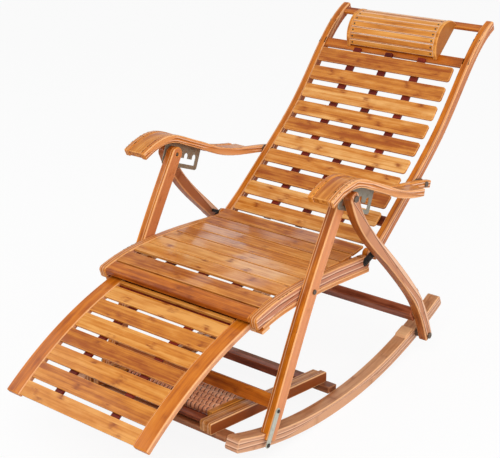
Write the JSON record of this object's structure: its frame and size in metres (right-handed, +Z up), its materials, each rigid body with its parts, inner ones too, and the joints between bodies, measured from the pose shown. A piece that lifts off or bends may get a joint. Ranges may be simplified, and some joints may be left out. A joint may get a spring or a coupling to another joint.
{
  "type": "folding rocking recliner",
  "caption": "Folding rocking recliner of bent bamboo bars with slatted seat, back and slide-out footrest, headrest and foot rollers.",
  "frame": {"origin": "on the floor, under the middle of the chair's length and width", "axes": "+Z up, the sitter faces -Y, +X is across the chair to the sitter's left"},
  "size_m": [0.69, 1.5274, 0.9419],
  "materials": {
    "slat_bamboo": "gloss",
    "frame_bamboo": "gloss",
    "ply_bamboo": "gloss",
    "brown_bamboo": "satin",
    "dark_bamboo": "satin",
    "roller_wood": "satin",
    "plate_steel": "satin",
    "strap_steel": "satin",
    "bolt_steel": "satin"
  },
  "bodies": {
    "rocker_base": {"rocker_left": "frame_bamboo", "rocker_right": "frame_bamboo", "rocker_crossbar_front": "brown_bamboo", "rocker_crossbar_rear": "brown_bamboo", "rocker_cleats": "frame_bamboo", "roller_unit_rail_left": "ply_bamboo", "roller_unit_rail_right": "ply_bamboo", "roller_unit_bars": "brown_bamboo", "roller_unit_cheeks": "slat_bamboo"},
    "roller_1": {"foot_roller_1": "roller_wood"},
    "roller_2": {"foot_roller_2": "roller_wood"},
    "roller_3": {"foot_roller_3": "roller_wood"},
    "roller_4": {"foot_roller_4": "roller_wood"},
    "roller_5": {"foot_roller_5": "roller_wood"},
    "rear_legs": {"rear_leg_left": "frame_bamboo", "rear_leg_right": "frame_bamboo", "rear_leg_stretcher": "brown_bamboo", "rear_leg_bolts": "bolt_steel"},
    "front_legs": {"front_leg_left": "frame_bamboo", "front_leg_right": "frame_bamboo", "front_leg_stretcher": "frame_bamboo", "front_leg_bolts": "bolt_steel", "latch_straps": "strap_steel"},
    "seat": {"seat_rail_left": "frame_bamboo", "seat_rail_right": "frame_bamboo", "seat_nosing": "slat_bamboo", "seat_slats": "slat_bamboo", "seat_battens": "dark_bamboo", "footrest_guide_left": "ply_bamboo", "footrest_guide_right": "ply_bamboo"},
    "hinge_links": {"back_hinge_links": "bolt_steel"},
    "back": {"back_rail_left": "frame_bamboo", "back_rail_right": "frame_bamboo", "back_top_crossbar": "frame_bamboo", "back_mid_crossbar": "frame_bamboo", "back_low_crossbar": "brown_bamboo", "back_battens": "dark_bamboo", "back_slat_01": "slat_bamboo", "back_slat_02": "slat_bamboo", "back_slat_03": "slat_bamboo", "back_slat_04": "slat_bamboo", "back_slat_05": "slat_bamboo", "back_slat_06": "slat_bamboo", "back_slat_07": "slat_bamboo", "back_slat_08": "slat_bamboo", "back_slat_09": "slat_bamboo", "back_slat_10": "slat_bamboo", "headrest_caps": "slat_bamboo", "headrest_strips": "slat_bamboo"},
    "arm_links": {"arm_links": "bolt_steel"},
    "arms": {"arm_board_left": "slat_bamboo", "arm_board_right": "slat_bamboo", "arm_plies_left": "ply_bamboo", "arm_plies_right": "ply_bamboo", "notch_plates": "plate_steel"},
    "footrest": {"footrest_rail_left": "slat_bamboo", "footrest_rail_right": "slat_bamboo", "footrest_slats": "slat_bamboo", "footrest_battens": "dark_bamboo"}
  },
  "joints": [
    {"name": "fold", "type": "hinge", "parent": "rocker_base", "child": "rear_legs", "pos_m": [0, 0.35928, 0.08], "axis": [-1, 0, 0], "range_deg": [0, 30]},
    {"name": "apex_turn", "type": "hinge", "parent": "rear_legs", "child": "front_legs", "pos_m": [0, -0.06972, 0.632], "axis": [1, 0, 0], "range_deg": [0, 54.5]},
    {"name": "seat_turn", "type": "hinge", "parent": "front_legs", "child": "seat", "pos_m": [0, -0.19772, 0.413], "axis": [-1, 0, 0], "range_deg": [0, 88.5]},
    {"name": "back_fold", "type": "hinge", "parent": "seat", "child": "hinge_links", "pos_m": [0, 0.08728, 0.393], "axis": [1, 0, 0], "range_deg": [0, 82.5]},
    {"name": "recline", "type": "hinge", "parent": "hinge_links", "child": "back", "pos_m": [0, 0.11728, 0.404], "axis": [1, 0, 0], "range_deg": [0, 25]},
    {"name": "arm_track", "type": "hinge", "parent": "back", "child": "arm_links", "pos_m": [0, 0.33528, 0.549], "axis": [1, 0, 0], "range_deg": [-17, 0]},
    {"name": "arm_fold", "type": "hinge", "parent": "arm_links", "child": "arms", "pos_m": [0, 0.36228, 0.5435], "axis": [-1, 0, 0], "range_deg": [0, 79]},
    {"name": "footrest_slide", "type": "hinge", "parent": "seat", "child": "footrest", "pos_m": [0, -0.16722, -0.5973], "axis": [-1, 0, 0], "range_deg": [0, 21]},
    {"name": "roller_1_spin", "type": "hinge", "parent": "rocker_base", "child": "roller_1", "pos_m": [0, -0.43772, 0.12922], "axis": [1, 0, 0], "continuous": true},
    {"name": "roller_2_spin", "type": "hinge", "parent": "rocker_base", "child": "roller_2", "pos_m": [0, -0.41022, 0.12537], "axis": [1, 0, 0], "continuous": true},
    {"name": "roller_3_spin", "type": "hinge", "parent": "rocker_base", "child": "roller_3", "pos_m": [0, -0.38272, 0.12152], "axis": [1, 0, 0], "continuous": true},
    {"name": "roller_4_spin", "type": "hinge", "parent": "rocker_base", "child": "roller_4", "pos_m": [0, -0.35522, 0.11767], "axis": [1, 0, 0], "continuous": true},
    {"name": "roller_5_spin", "type": "hinge", "parent": "rocker_base", "child": "roller_5", "pos_m": [0, -0.32772, 0.11382], "axis": [1, 0, 0], "continuous": true}
  ],
  "couplings": [
    {"joint": "apex_turn", "follows": "fold", "ratio": 1.8167},
    {"joint": "seat_turn", "follows": "fold", "ratio": 2.95},
    {"joint": "back_fold", "follows": "fold", "ratio": 2.75},
    {"joint": "arm_track", "follows": "recline", "ratio": -0.68},
    {"joint": "arm_fold", "follows": "fold", "ratio": 2.6333}
  ]
}
